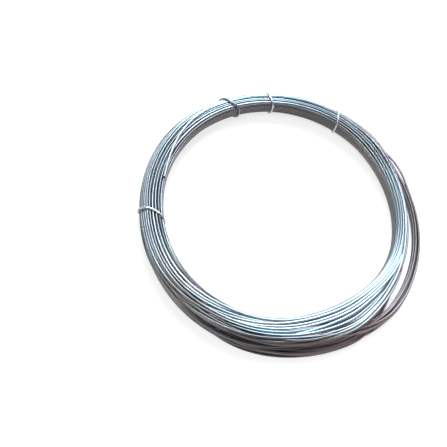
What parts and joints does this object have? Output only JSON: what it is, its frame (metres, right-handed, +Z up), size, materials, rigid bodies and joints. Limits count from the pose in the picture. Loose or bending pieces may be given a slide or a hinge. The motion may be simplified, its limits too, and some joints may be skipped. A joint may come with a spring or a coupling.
{
  "type": "platinum wire coil",
  "caption": "Coil of bare round platinum wire, fanned out on one side and bound by thin wire ties, ready to be unwound and cut for use.",
  "frame": {"origin": "centre of the coil's outer circle, at the level that the coil rests on", "axes": "+Z up along the coil's axis, +X to the right and +Y to the back as the coil is seen from its front"},
  "size_m": [0.1712, 0.1712, 0.0134],
  "materials": {
    "platinum_wire": "drawn, bright with fine lines along the wire",
    "tie_wire": "bright"
  },
  "bodies": {
    "root": {"wire_coil": "platinum_wire", "tie_left": "tie_wire", "tie_upper_left": "tie_wire", "tie_top": "tie_wire", "tie_upper_right": "tie_wire"}
  },
  "joints": []
}
